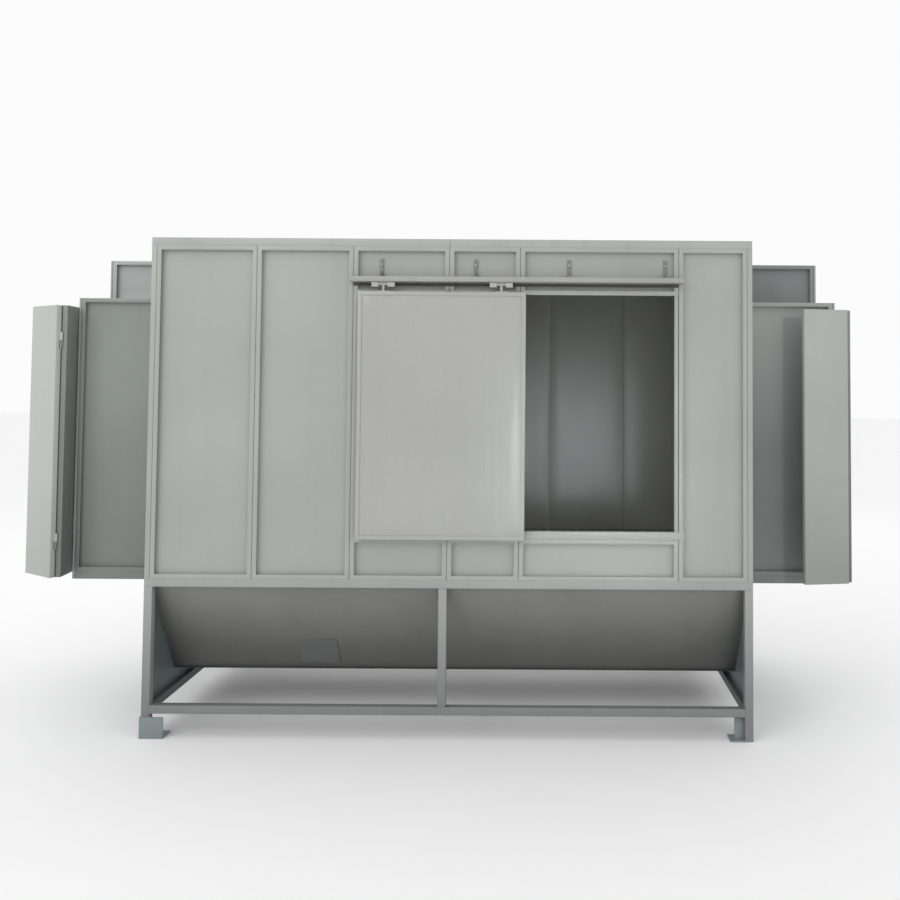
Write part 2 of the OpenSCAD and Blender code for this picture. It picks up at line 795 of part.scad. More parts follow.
stile_leaf(1, 1);  // right_rear_stile_leaf
free_leaf(1, 1);  // right_rear_free_leaf
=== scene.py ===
"""Walk-in sandblast cabinet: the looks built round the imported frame, in the order it is put together."""
import json
import math

import bmesh
import bpy
from mathutils import Matrix, Vector


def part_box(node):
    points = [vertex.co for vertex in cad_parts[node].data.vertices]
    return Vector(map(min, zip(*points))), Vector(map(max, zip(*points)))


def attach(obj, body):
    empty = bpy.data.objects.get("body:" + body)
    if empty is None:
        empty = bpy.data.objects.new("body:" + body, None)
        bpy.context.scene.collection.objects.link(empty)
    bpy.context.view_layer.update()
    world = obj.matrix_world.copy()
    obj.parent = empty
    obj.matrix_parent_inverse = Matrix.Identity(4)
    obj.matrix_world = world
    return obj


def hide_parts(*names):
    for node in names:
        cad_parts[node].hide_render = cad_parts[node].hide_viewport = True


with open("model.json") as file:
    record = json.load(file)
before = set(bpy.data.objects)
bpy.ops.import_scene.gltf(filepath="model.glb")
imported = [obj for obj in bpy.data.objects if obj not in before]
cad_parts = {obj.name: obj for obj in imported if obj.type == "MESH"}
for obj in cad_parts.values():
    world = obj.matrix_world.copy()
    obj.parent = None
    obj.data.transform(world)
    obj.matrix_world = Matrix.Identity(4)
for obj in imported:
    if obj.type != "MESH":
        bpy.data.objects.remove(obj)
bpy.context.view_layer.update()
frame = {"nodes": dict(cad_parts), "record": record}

# ---------------------------------------------------------------------------
# Camera, studio light and floor
# A camera at eye height, a little right of the middle, over a seamless white paper floor. The front
# gets broad soft light from high on the left, so the undersides and the right-hand faces stay darker.
# ---------------------------------------------------------------------------
EYE = Vector((0.48, -4.95, 1.76))
PITCH_UP = math.radians(2.16)
ROLL = math.radians(0.38)
LENS = 34.0
SENSOR = 36.0
LENS_SHIFT = (-0.1078, -0.110)
BROAD = (4.0, 3.0)
COOL_LIGHT = (0.88, 0.96, 1.0)
AIR_WHITE = (0.97, 0.97, 0.97, 1)
PAPER_SIZE = 80
PAPER_TONES = ((0.93, 0.93, 0.93, 1), (0.95, 0.95, 0.95, 1))

scene = bpy.context.scene
scene.view_settings.view_transform = "Standard"


def deselect():
    """Leave edit mode and deselect everything, so that an operator touches only the new piece."""
    if bpy.context.object and bpy.context.object.mode != "OBJECT":
        bpy.ops.object.mode_set(mode="OBJECT")
    bpy.ops.object.select_all(action="DESELECT")


def tree_of(thing):
    """Switch on the nodes of a material or world and hand back its tree and its output."""
    thing.use_nodes = True
    thing.node_tree.nodes.clear()
    kind = "ShaderNodeOutputWorld" if isinstance(thing, bpy.types.World) else "ShaderNodeOutputMaterial"
    return thing.node_tree, thing.node_tree.nodes.new(kind)


def add(tree, kind, settings=None, **sockets):
    """Add a shader node; each socket is given a value, or an output socket to be fed from."""
    made = tree.nodes.new("ShaderNode" + kind)
    for key, value in (settings or {}).items():
        setattr(made, key, value)
    for key, value in sockets.items():
        socket = made.inputs[int(key[1:])] if key[1:].isdigit() else made.inputs[key.replace("_", " ")]
        if isinstance(value, bpy.types.NodeSocket):
            tree.links.new(value, socket)
        else:
            socket.default_value = value
    return made


def softbox(name, place, aim, size, watts, spread=180, tint=(1, 1, 1)):
    """A rectangular studio light that looks at a point; its beam fans out by spread, in degrees."""
    data = bpy.data.lights.new(name, "AREA")
    data.shape = "RECTANGLE"
    data.size, data.size_y = size
    data.energy = watts
    data.color = tint
    data.spread = math.radians(spread)
    lamp = bpy.data.objects.new(name, data)
    lamp.location = place
    lamp.rotation_euler = (Vector(aim) - Vector(place)).to_track_quat("-Z", "Y").to_euler()
    scene.collection.objects.link(lamp)


camera_data = bpy.data.cameras.new("camera")
camera_data.lens = LENS
camera_data.sensor_width = SENSOR
camera_data.shift_x, camera_data.shift_y = LENS_SHIFT
camera = bpy.data.objects.new("camera", camera_data)
camera.matrix_world = (Matrix.Translation(EYE) @ Matrix.Rotation(math.pi / 2 + PITCH_UP, 4, "X")
                       @ Matrix.Rotation(ROLL, 4, "Z"))
scene.collection.objects.link(camera)
scene.camera = camera

softbox("key_softbox", place=(-4.2, -6.5, 5.4), aim=(-0.3, 0, 1.4), size=BROAD, watts=115)
softbox("fill_softbox", place=(4.5, -7.0, 3.0), aim=(0.3, 0, 1.4), size=BROAD, watts=26)
softbox("rear_softbox", place=(0.0, 7.0, 5.0), aim=(0, 0, 1.5), size=(6.0, 4.0), watts=60)
softbox("doorway_softbox", place=(1.0, -4.6, 1.25), aim=(0.62, 0.6, 1.28), size=(0.7, 0.7),
        watts=0.55, spread=17, tint=COOL_LIGHT)

world = bpy.data.worlds.new("studio")
scene.world = world
world_tree, world_out = tree_of(world)
studio_air = add(world_tree, "Background", Color=AIR_WHITE, Strength=1.0)
world_tree.links.new(studio_air.outputs[0], world_out.inputs[0])

deselect()
bpy.ops.mesh.primitive_plane_add(size=PAPER_SIZE, location=(0, 0, 0))
floor = bpy.context.object
floor.name = "studio_floor"
floor_paper = bpy.data.materials.new("floor_paper")
paper_tree, paper_out = tree_of(floor_paper)
paper_coords = add(paper_tree, "TexCoord")
paper_grain = add(paper_tree, "TexNoise", Vector=paper_coords.outputs["Object"], Scale=3.0, Detail=4.0)
paper_tone = add(paper_tree, "ValToRGB", Fac=paper_grain.outputs["Fac"])
for end, tone in enumerate(PAPER_TONES):
    paper_tone.color_ramp.elements[end].color = tone
paper = add(paper_tree, "BsdfPrincipled", Base_Color=paper_tone.outputs[0], Roughness=0.9)
paper_tree.links.new(paper.outputs[0], paper_out.inputs[0])
floor.data.materials.append(floor_paper)

# ---------------------------------------------------------------------------
# Stand
# Legs, rails, posts and grate beams are cold-formed square steel tube with round corners, cut square
# and welded into one frame, then sprayed grey. The paint darkens towards the floor as painted shade,
# and the side rails, under the ends of the hopper, are painted far darker as painted shade.
# ---------------------------------------------------------------------------
TUBE = 0.040
TUBE_WALL = 0.003
TUBE_CORNER = 0.0045
TUBE_HOLLOW = 1.2 * TUBE
BEAD = 0.0032
BEAD_RIPPLE = 0.004
BEAD_WAIST = 0.78
BEAD_SHORT = 0.003
FACES_SAME_WAY = 0.9
PEEL = 0.05
RUN_SHADE = 0.62
GRIT_SHADE = 0.55
DULLER = 0.10
GLOSSIER = 0.07
# Painted shade: the near-black tone that dark_below mixes in. Painted reflection: the dark tone of the
# upright strip.
PAINTED_SHADE_TONE = (0.022, 0.024, 0.026, 1)
PAINTED_REFLECTION_TONE = (0.03, 0.036, 0.04, 1)
REFLECTION_EDGE_FADE = 0.008
STAND_COLOUR = (0.315, 0.330, 0.322)
SIDE_RAIL_SHADE_COLOUR = (0.10, 0.108, 0.11)
ALONG_X, ALONG_Y, ALONG_Z = range(3)
BLEND = {"data_type": "RGBA"}
SMOOTH = {"interpolation_type": "SMOOTHSTEP"}
TIMES = {"operation": "MULTIPLY"}

bodies = {node: body for body, nodes in frame["record"]["behaviour"]["bodies"].items() for node in nodes}


def enamel(name, colour, gloss=0.36, cloud=0.05, dark_below=None, dust=0.10, painted_reflection_strip=None):
    """Sprayed enamel; dark_below = (z, z, share) darkens it with painted shade from the first height down
    to the second, and the strip argument (x, x, z, share) gives it a painted reflection: a dark upright
    strip between two places along X, up to a height."""
    paint = bpy.data.materials.new(name)
    tree, out = tree_of(paint)
    place = add(tree, "TexCoord").outputs["Object"]
    clouds = add(tree, "TexNoise", Vector=place, Scale=1.7, Detail=3.0, Roughness=0.55)
    run_map = add(tree, "Mapping", Vector=place, Scale=(14.0, 14.0, 0.5))
    runs = add(tree, "TexNoise", Vector=run_map.outputs[0], Scale=1.0, Detail=4.0, Roughness=0.6)
    grit = add(tree, "TexNoise", Vector=place, Scale=85.0, Detail=3.0, Roughness=0.7)
    tone = add(tree, "ValToRGB", Fac=clouds.outputs["Fac"])
    tone.color_ramp.elements[0].position = 0.3
    tone.color_ramp.elements[1].position = 0.72
    tone.color_ramp.elements[0].color = (*[c * (1 - cloud) for c in colour], 1)
    tone.color_ramp.elements[1].color = (*[c * (1 + cloud) for c in colour], 1)
    run_share = add(tree, "MapRange", Value=runs.outputs["Fac"], From_Min=0.52, From_Max=0.78,
                    To_Min=0.0, To_Max=dust)
    run_tone = add(tree, "Mix", BLEND, _0=run_share.outputs[0], _6=tone.outputs[0],
                   _7=(*[c * RUN_SHADE for c in colour], 1))
    grit_share = add(tree, "MapRange", Value=grit.outputs["Fac"], From_Min=0.60, From_Max=0.74,
                     To_Min=0.0, To_Max=dust * 1.5)
    painted = add(tree, "Mix", BLEND, _0=grit_share.outputs[0], _6=run_tone.outputs[2],
                  _7=(*[c * GRIT_SHADE for c in colour], 1))
    colour_out = painted.outputs[2]
    # Painted shade: the colour darkens from the first height down to the second.
    if dark_below:
        top, bottom, share = dark_below
        height = add(tree, "SeparateXYZ", Vector=place)
        fall = add(tree, "MapRange", SMOOTH, Value=height.outputs[2],
                   From_Min=top, From_Max=bottom, To_Min=0.0, To_Max=share)
        shaded = add(tree, "Mix", BLEND, _0=fall.outputs[0], _6=colour_out, _7=PAINTED_SHADE_TONE)
        colour_out = shaded.outputs[2]
    # Painted reflection: a dark upright strip mixed into the colour, fixed in place.
    if painted_reflection_strip:
        start, end, head, share = painted_reflection_strip
        spot = add(tree, "SeparateXYZ", Vector=place)
        rise = add(tree, "MapRange", SMOOTH, Value=spot.outputs[0],
                   From_Min=start - REFLECTION_EDGE_FADE, From_Max=start + REFLECTION_EDGE_FADE, To_Min=0.0, To_Max=share)
        drop = add(tree, "MapRange", SMOOTH, Value=spot.outputs[0],
                   From_Min=end - REFLECTION_EDGE_FADE, From_Max=end + REFLECTION_EDGE_FADE, To_Min=1.0, To_Max=0.0)
        below = add(tree, "MapRange", SMOOTH, Value=spot.outputs[2],
                    From_Min=head - REFLECTION_EDGE_FADE, From_Max=head + REFLECTION_EDGE_FADE, To_Min=1.0, To_Max=0.0)
        across = add(tree, "Math", TIMES, _0=rise.outputs[0], _1=drop.outputs[0])
        strip_share = add(tree, "Math", TIMES, _0=across.outputs[0], _1=below.outputs[0])
        reflected_tone = add(tree, "Mix", BLEND, _0=strip_share.outputs[0], _6=colour_out, _7=PAINTED_REFLECTION_TONE)
        colour_out = reflected_tone.outputs[2]
    sheen = add(tree, "MapRange", Value=runs.outputs["Fac"], To_Min=gloss - GLOSSIER,
                To_Max=gloss + DULLER)
    orange_peel = add(tree, "TexNoise", Vector=place, Scale=240.0, Detail=2.0)
    peel_bump = add(tree, "Bump", Strength=PEEL, Distance=0.002, Height=orange_peel.outputs["Fac"])
    ripple = add(tree, "TexNoise", Vector=place, Scale=5.0, Detail=2.0)
    ripple_bump = add(tree, "Bump", Strength=0.16, Distance=0.010, Height=ripple.outputs["Fac"],
                      Normal=peel_bump.outputs[0])
    shader = add(tree, "BsdfPrincipled", Base_Color=colour_out, Roughness=sheen.outputs[0],
                 Normal=ripple_bump.outputs[0])
    tree.links.new(shader.outputs[0], out.inputs[0])
    return paint


def select_faces(mesh_object, wanted):
    """In edit mode, select just the faces whose normal passes a test."""
    bpy.ops.mesh.select_mode(type="FACE")
    bpy.ops.mesh.select_all(action="DESELECT")
    work = bmesh.from_edit_mesh(mesh_object.data)
    for face in work.faces:
        face.select = wanted(face.normal)
    work.select_flush_mode()
    bmesh.update_edit_mesh(mesh_object.data)


def round_edges(piece, radius, segments=2, angle=35.0):
    """Round the folded or cut edges of a piece and smooth its shading between them."""
    rounding = piece.modifiers.new("rounded_edges", "BEVEL")
    rounding.width = radius
    rounding.segments = segments
    rounding.limit_method = "ANGLE"
    rounding.angle_limit = math.radians(angle)
    bpy.ops.object.modifier_apply(modifier=rounding.name)
    bpy.ops.object.shade_smooth_by_angle(angle=math.radians(angle))


def stands_for(piece, node, paint):
    """Paint a finished piece and put it in its CAD node's stead, on the body that the node rides."""
    piece.data.materials.clear()
    piece.data.materials.append(paint)
    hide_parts(node)
    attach(piece, bodies[node])


def block(name, low, high):
    """A new block between two corners, with its place in its mesh, left in edit mode."""
    deselect()
    bpy.ops.mesh.primitive_cube_add(size=1, location=(0, 0, 0))
    piece = bpy.context.object
    piece.name = name
    bpy.ops.object.mode_set(mode="EDIT")
    bpy.ops.mesh.select_all(action="SELECT")
    bpy.ops.transform.resize(value=Vector(high) - Vector(low), center_override=(0, 0, 0))
    bpy.ops.transform.translate(value=(Vector(high) + Vector(low)) / 2)
    return piece


def square_tube(name, node, low, high, axis, paint, wall=TUBE_WALL, corner=TUBE_CORNER):
    """A length of square tube between two corners: both ends are inset by its wall and hollowed."""
    piece = block(name, low, high)
    for end in (-1, 1):
        select_faces(piece, lambda normal: normal[axis] * end > FACES_SAME_WAY)
        bpy.ops.mesh.inset(thickness=wall)
        inward = [0, 0, 0]
        inward[axis] = -end * TUBE_HOLLOW
        bpy.ops.mesh.extrude_region_move(TRANSFORM_OT_translate={"value": inward})
    bpy.ops.object.mode_set(mode="OBJECT")
    round_edges(piece, corner, segments=3, angle=60.0)
    stands_for(piece, node, paint)


def weld_bead(name, node, start, end, paint):
    """A rippled bead of weld metal along a joint between two tubes."""
    start, end = Vector(start), Vector(end)
    ripples = max(4, round((end - start).length / BEAD_RIPPLE))
    step = (end - start) / ripples
    turn = step.to_track_quat("Z", "Y").to_euler()
    deselect()
    bpy.ops.mesh.primitive_circle_add(vertices=8, radius=BEAD, fill_type="NGON", rotation=turn,
                                      location=start)
    piece = bpy.context.object
    piece.name = name
    bpy.ops.object.transform_apply(location=True, rotation=True, scale=True)
    bpy.ops.object.mode_set(mode="EDIT")
    bpy.ops.mesh.select_all(action="SELECT")
    for ripple in range(ripples):
        bpy.ops.mesh.extrude_region_move(TRANSFORM_OT_translate={"value": step})
        share = BEAD_WAIST if ripple % 2 == 0 else 1 / BEAD_WAIST
        bpy.ops.transform.resize(value=(share, share, share),
                                 center_override=start + step * (ripple + 1))
    bpy.ops.mesh.select_all(action="SELECT")
    bpy.ops.mesh.normals_make_consistent(inside=False)
    bpy.ops.object.mode_set(mode="OBJECT")
    bpy.ops.object.shade_smooth()
    stands_for(piece, node, paint)


# Painted shade: dark_below darkens the stand towards the floor.
stand_paint = enamel("stand_enamel", STAND_COLOUR, gloss=0.42, dust=0.25, dark_below=(0.80, 0.08, 0.42))
# Painted shade: the side rails' grey is set a third as bright as the stand's.
side_rail_shade_paint = enamel("side_rail_shade_enamel", SIDE_RAIL_SHADE_COLOUR, gloss=0.45, dust=0.3)
leg_low, leg_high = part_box("stand_legs")
rail_low, rail_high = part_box("stand_bottom_rails")
head_low, head_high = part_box("stand_top_rails")
SIDES = (("left", leg_low.x, leg_low.x + TUBE), ("right", leg_high.x - TUBE, leg_high.x))
DEPTHS = (("front", leg_low.y, leg_low.y + TUBE), ("rear", leg_high.y - TUBE, leg_high.y))

for face, y0, y1 in DEPTHS:
    for side, x0, x1 in SIDES:
        square_tube(f"{face}_{side}_leg", "stand_legs", (x0, y0, leg_low.z), (x1, y1, leg_high.z),
                    ALONG_Z, stand_paint)
        inner = x1 if side == "left" else x0
        for edge, z in (("under", rail_low.z), ("over", rail_high.z)):
            weld_bead(f"{face}_{side}_rail_weld_{edge}", "stand_bottom_rails",
                      (inner, y0 + BEAD_SHORT, z), (inner, y1 - BEAD_SHORT, z), stand_paint)
        weld_bead(f"{face}_{side}_head_weld", "stand_top_rails",
                  (inner, y0 + BEAD_SHORT, head_low.z), (inner, y1 - BEAD_SHORT, head_low.z), stand_paint)
    square_tube(f"{face}_bottom_rail", "stand_bottom_rails", (leg_low.x + TUBE, y0, rail_low.z),
                (leg_high.x - TUBE, y1, rail_high.z), ALONG_X, stand_paint)
    square_tube(f"{face}_top_rail", "stand_top_rails", (leg_low.x, y0, head_low.z),
                (leg_high.x, y1, head_high.z), ALONG_X, stand_paint)
for side, x0, x1 in SIDES:
    square_tube(f"{side}_bottom_rail", "stand_bottom_rails", (x0, leg_low.y + TUBE, rail_low.z),
                (x1, leg_high.y - TUBE, rail_high.z), ALONG_Y, side_rail_shade_paint)
    square_tube(f"{side}_top_rail", "stand_top_rails", (x0, leg_low.y + TUBE, head_low.z),
                (x1, leg_high.y - TUBE, head_high.z), ALONG_Y, stand_paint)

post_low, post_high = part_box("mid_posts")
for face, y0, y1 in DEPTHS:
    square_tube(f"{face}_mid_post", "mid_posts", (post_low.x, y0, post_low.z),
                (post_high.x, y1, post_high.z), ALONG_Z, stand_paint)
    out = y0 if face == "front" else y1
    for edge, z in (("low", post_low.z), ("high", post_high.z)):
        weld_bead(f"{face}_mid_post_weld_{edge}", "mid_posts", (post_low.x + BEAD_SHORT, out, z),
                  (post_high.x - BEAD_SHORT, out, z), stand_paint)

beam_low, beam_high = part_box("grate_beams")
for side, x0 in (("left", beam_low.x), ("right", beam_high.x - TUBE)):
    square_tube(f"{side}_grate_beam", "grate_beams", (x0, beam_low.y, beam_low.z),
                (x0 + TUBE, beam_high.y, beam_high.z), ALONG_Y, stand_paint)

# ---------------------------------------------------------------------------
# Feet
# Each leg stands on a steel foot plate with one hole for a floor anchor. An angle is welded to the plate
# and to the leg, and stiffens them.
# ---------------------------------------------------------------------------
FOOT_COLOUR = (0.210, 0.245, 0.250)
SAME_POINT = 0.00001
SAME_PLANE = math.radians(0.5)


def worked_copy(name, node, paint, radius=0.0008, segments=2, angle=35.0):
    """A CAD node's own shape as a finished piece: merged into clean faces, with its edges rounded."""
    deselect()
    piece = bpy.data.objects.new(name, frame["nodes"][node].data.copy())
    scene.collection.objects.link(piece)
    piece.select_set(True)
    bpy.context.view_layer.objects.active = piece
    bpy.ops.object.mode_set(mode="EDIT")
    bpy.ops.mesh.select_all(action="SELECT")
    bpy.ops.mesh.remove_doubles(threshold=SAME_POINT)
    bpy.ops.mesh.dissolve_limited(angle_limit=SAME_PLANE)
    bpy.ops.object.mode_set(mode="OBJECT")
    round_edges(piece, radius, segments, angle)
    stands_for(piece, node, paint)


foot_paint = enamel("foot_enamel", FOOT_COLOUR, gloss=0.45, dust=0.35)
for side in ("left", "right"):
    worked_copy(f"{side}_foot_plates", f"{side}_feet", foot_paint, radius=0.0012)

# ---------------------------------------------------------------------------
# Hopper
# Two sloping sheets fall to a flat trough between two upright end sheets, all welded from 3 mm steel
# plate that has buckled a little between its welds. A doubler plate is welded over the front slope.
# ---------------------------------------------------------------------------
HOPPER_SHEET = 0.003
PLATE_EDGE = 0.0006
SLOPE_CELLS = (44, 12)
SLOPE_BUCKLE = 0.004
SLOPE_BELOW_FACE = 0.001
END_CELLS = (24, 12)
END_BUCKLE = 0.002
WAVES_ACROSS = 9.0
WAVES_UP = 7.0
DOUBLER = (0.205, 0.165)
DOUBLER_CELLS = (8, 6)
DOUBLER_PLACE = (-0.705, 0.350)
DOUBLER_RISE = 0.0035
HOPPER_SHADED_COLOUR = (0.200, 0.204, 0.190)
HOPPER_END_SHADE_COLOUR = (0.115, 0.138, 0.140)
DOUBLER_COLOUR = (0.112, 0.117, 0.114)

# Painted shade: the hopper's grey is set darker than the walls', and dark_below darkens it further towards
# the trough.
hopper_shaded_paint = enamel("hopper_shaded_enamel", HOPPER_SHADED_COLOUR, gloss=0.46, dust=0.2, cloud=0.08,
                      dark_below=(0.72, 0.22, 0.62))
# Painted shade: the end sheets' grey is set darker and bluer than the slopes'.
hopper_end_shade_paint = enamel("hopper_end_shade_enamel", HOPPER_END_SHADE_COLOUR, gloss=0.46, dust=0.3)
doubler_paint = enamel("doubler_enamel", DOUBLER_COLOUR, gloss=0.42, dust=0.3)


def flat_grid(name, width, height, cells_x, cells_y):
    """A subdivided sheet about the origin, left in edit mode."""
    deselect()
    bpy.ops.mesh.primitive_grid_add(x_subdivisions=cells_x, y_subdivisions=cells_y, size=1)
    piece = bpy.context.object
    piece.name = name
    bpy.ops.object.mode_set(mode="EDIT")
    bpy.ops.mesh.select_all(action="SELECT")
    bpy.ops.transform.resize(value=(width, height, 1), center_override=(0, 0, 0))
    return piece


def buckle(piece, width, height, swell, wave, turn):
    """Push a sheet's own points out of its plane: a slow swell with a few waves, and still at its rim."""
    bpy.ops.object.mode_set(mode="OBJECT")
    for point in piece.data.vertices:
        across, up = point.co.x / width + 0.5, point.co.y / height + 0.5
        still = math.sin(math.pi * across) * math.sin(math.pi * up)
        waves = math.sin(WAVES_ACROSS * point.co.x + turn) * math.sin(WAVES_UP * point.co.y + 1.7 * turn)
        point.co.z += still * (swell + wave * waves)
    bpy.ops.object.mode_set(mode="EDIT")
    bpy.ops.mesh.select_all(action="SELECT")


def thicken(piece, thickness):
    """Give an open sheet its thickness towards the back of its faces."""
    bpy.ops.object.mode_set(mode="OBJECT")
    wall = piece.modifiers.new("sheet_thickness", "SOLIDIFY")
    wall.thickness = thickness
    wall.offset = -1
    wall.use_even_offset = True
    bpy.ops.object.modifier_apply(modifier=wall.name)


def place_at(piece, across, up, out, middle):
    """Turn a finished sheet's mesh so that its X, Y and Z run along three directions from a point."""
    piece.data.transform(Matrix.Translation(middle) @ Matrix((across, up, out)).transposed().to_4x4())
    piece.data.update()


for face, node in (("front", "hopper_front_slope"), ("rear", "hopper_rear_slope")):
    low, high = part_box(node)
    toward = -1 if face == "front" else 1
    outer = low.y if face == "front" else high.y
    trough = high.y if face == "front" else low.y
    top_edge = Vector((0, outer, high.z))
    low_edge = Vector((0, trough, low.z))
    along = Vector((1, 0, 0)) * -toward
    up = (top_edge - low_edge).normalized()
    out = along.cross(up)
    length = (top_edge - low_edge).length
    slope = flat_grid(f"{face}_slope_sheet", high.x - low.x, length, *SLOPE_CELLS)
    buckle(slope, high.x - low.x, length, swell=SLOPE_BUCKLE / 2, wave=SLOPE_BUCKLE, turn=0.8 + toward)
    thicken(slope, HOPPER_SHEET)
    round_edges(slope, PLATE_EDGE, segments=1, angle=60.0)
    middle = (top_edge + low_edge) / 2 - out * SLOPE_BELOW_FACE
    place_at(slope, along, up, out, middle)
    stands_for(slope, node, hopper_shaded_paint)

    if face == "front":
        plate = flat_grid("slope_doubler", *DOUBLER, *DOUBLER_CELLS)
        buckle(plate, *DOUBLER, swell=0.002, wave=0.001, turn=0.3)
        thicken(plate, HOPPER_SHEET)
        round_edges(plate, 0.0008, segments=2, angle=60.0)
        share = (DOUBLER_PLACE[1] - low.z) / (high.z - low.z)
        spot = low_edge.lerp(top_edge, share) + Vector((DOUBLER_PLACE[0], 0, 0)) + out * DOUBLER_RISE
        place_at(plate, along, up, out, spot)
        stands_for(plate, node, doubler_paint)

worked_copy("trough_floor_sheet", "trough_floor", hopper_shaded_paint)
for side in ("left", "right"):
    low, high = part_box(f"{side}_hopper_end")
    toward = -1 if side == "left" else 1
    sheet = flat_grid(f"{side}_hopper_end_sheet", high.y - low.y, high.z - low.z, *END_CELLS)
    buckle(sheet, high.y - low.y, high.z - low.z, swell=0.0, wave=END_BUCKLE, turn=1.1)
    thicken(sheet, HOPPER_SHEET)
    round_edges(sheet, PLATE_EDGE, segments=1, angle=60.0)
    place_at(sheet, Vector((0, toward, 0)), Vector((0, 0, 1)), Vector((toward, 0, 0)),
             Vector((low.x if toward < 0 else high.x, (low.y + high.y) / 2, (low.z + high.z) / 2)))
    stands_for(sheet, f"{side}_hopper_end", hopper_end_shade_paint)

# ---------------------------------------------------------------------------
# Outlet
# A rolled steel spigot through the trough, with a turned flange and eight bolt holes for the conveyor
# below. It is welded to the trough floor.
# ---------------------------------------------------------------------------
worked_copy("outlet_spigot_ring", "outlet_spigot", hopper_shaded_paint, radius=PLATE_EDGE, angle=50.0)

# ---------------------------------------------------------------------------
# Work grate
# Three grids of flat steel bar, welded at each crossing, lie loose on the rails and the two beams. The
# work stands on them, and the blast keeps them bare and grey.
# ---------------------------------------------------------------------------
GRATE_COLOUR = (0.22, 0.22, 0.215)

grate_steel = enamel("blasted_steel", GRATE_COLOUR, gloss=0.55, dust=0.5, cloud=0.15)
worked_copy("grate_grids", "grate_panels", grate_steel, radius=0.0008, segments=1)

# ---------------------------------------------------------------------------
# Corner posts
# Square posts of 2 mm sheet, folded and sprayed, stand at the four corners of the cabinet. The wall pans
# bolt to them from inside their own folds.
# ---------------------------------------------------------------------------
SHELL_COLOUR = (0.348, 0.357, 0.334)
SHEET = 0.002
PAN_DEPTH = 0.025
POST_CORNER = 0.0022

shell_paint = enamel("shell_enamel", SHELL_COLOUR, gloss=0.38)
post_low, post_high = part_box("corner_posts")
for side, x0 in (("left", post_low.x), ("right", post_high.x - PAN_DEPTH)):
    for face, y0 in (("front", post_low.y), ("rear", post_high.y - PAN_DEPTH)):
        square_tube(f"{face}_{side}_corner_post", "corner_posts", (x0, y0, post_low.z),
                    (x0 + PAN_DEPTH, y0 + PAN_DEPTH, post_high.z), ALONG_Z, shell_paint, SHEET,
                    POST_CORNER)

# ---------------------------------------------------------------------------
# Wall pans
# Each wall is a row of trays of 2 mm sheet. Their walls and lips are folded towards the outside, so
# the inside of the cabinet is smooth, and a bead of grey mastic seals the joint between two of them.
# ---------------------------------------------------------------------------
LIP = 0.022
WIDEST_LIP = 0.3
SEAM = 0.003
PAN_SWELL = 0.0016
PAN_WAVE = 0.0012
PAN_CELL = 0.075
FOLD = 0.0011
MASTIC_BACK = 0.0015
MASTIC_DEPTH = 0.010
STRIP_DOME = 0.0012
MASTIC_CLEAR = 0.0002
MASTIC_COLOUR = (0.235, 0.242, 0.228)


def folded_pan(name, node, low, high, facing, paint, swell=PAN_SWELL, wave=PAN_WAVE):
    """A sheet tray between two corners, its walls and lips folded up from its sheet towards facing."""
    low, high, facing = Vector(low), Vector(high), Vector(facing)
    up = Vector((0, 1, 0)) if abs(facing.z) > 0.5 else Vector((0, 0, 1))
    across = up.cross(facing)
    size = high - low
    width, height, depth = (abs(size.dot(axis)) for axis in (across, up, facing))
    lip = min(LIP, WIDEST_LIP * min(width, height))
    cells = (max(2, round(reach / PAN_CELL)) for reach in (width, height))
    pan = flat_grid(name, width, height, *cells)
    own_turn = 5.0 * (low.x + low.y) + 3.0 * low.z
    buckle(pan, width, height, -swell, wave, own_turn)
    bpy.ops.mesh.select_mode(type="EDGE")
    bpy.ops.mesh.region_to_loop()
    bpy.ops.mesh.extrude_edges_move(TRANSFORM_OT_translate={"value": (0, 0, depth)})
    bpy.ops.mesh.extrude_edges_move(TRANSFORM_OT_translate={"value": (0, 0, 0)})
    bpy.ops.transform.resize(value=(1 - 2 * lip / width, 1 - 2 * lip / height, 1),
                             center_override=(0, 0, 0))
    bpy.ops.mesh.select_all(action="SELECT")
    bpy.ops.mesh.normals_make_consistent(inside=False)
    work = bmesh.from_edit_mesh(pan.data)
    work.faces.ensure_lookup_table()
    if work.faces[0].normal.z > 0:
        bpy.ops.mesh.flip_normals()
    thicken(pan, SHEET)
    round_edges(pan, FOLD, segments=2, angle=40.0)
    middle = (low + high) / 2 - facing * depth / 2
    place_at(pan, across, up, facing, middle)
    stands_for(pan, node, paint)


def soft_strip(name, low, high):
    """A strip of something soft between two corners, with its long edges domed."""
    strip = block(name, low, high)
    bpy.ops.object.mode_set(mode="OBJECT")
    round_edges(strip, STRIP_DOME, segments=3, angle=60.0)
    return strip


def mastic_bead(name, node, low, high):
    """A bead of sealing mastic in the joint between two pans."""
    stands_for(soft_strip(name, low, high), node, mastic)


def solid_boxes(node):
    """The lowest and highest corner of each separate solid of a CAD node, from left to right."""
    work = bmesh.new()
    work.from_mesh(frame["nodes"][node].data)
    bmesh.ops.remove_doubles(work, verts=work.verts, dist=SAME_POINT)
    boxes, seen = [], set()
    for first in work.verts:
        if first in seen:
            continue
        group, queue = [], [first]
        seen.add(first)
        while queue:
            point = queue.pop()
            group.append(point.co.copy())
            for edge in point.link_edges:
                other = edge.other_vert(point)
                if other not in seen:
                    seen.add(other)
                    queue.append(other)
        boxes.append((Vector([min(c[i] for c in group) for i in range(3)]),
                      Vector([max(c[i] for c in group) for i in range(3)])))
    work.free()
    return sorted(boxes, key=lambda box: (round(box[0].x, 3), round(box[0].y, 3), round(box[0].z, 3)))


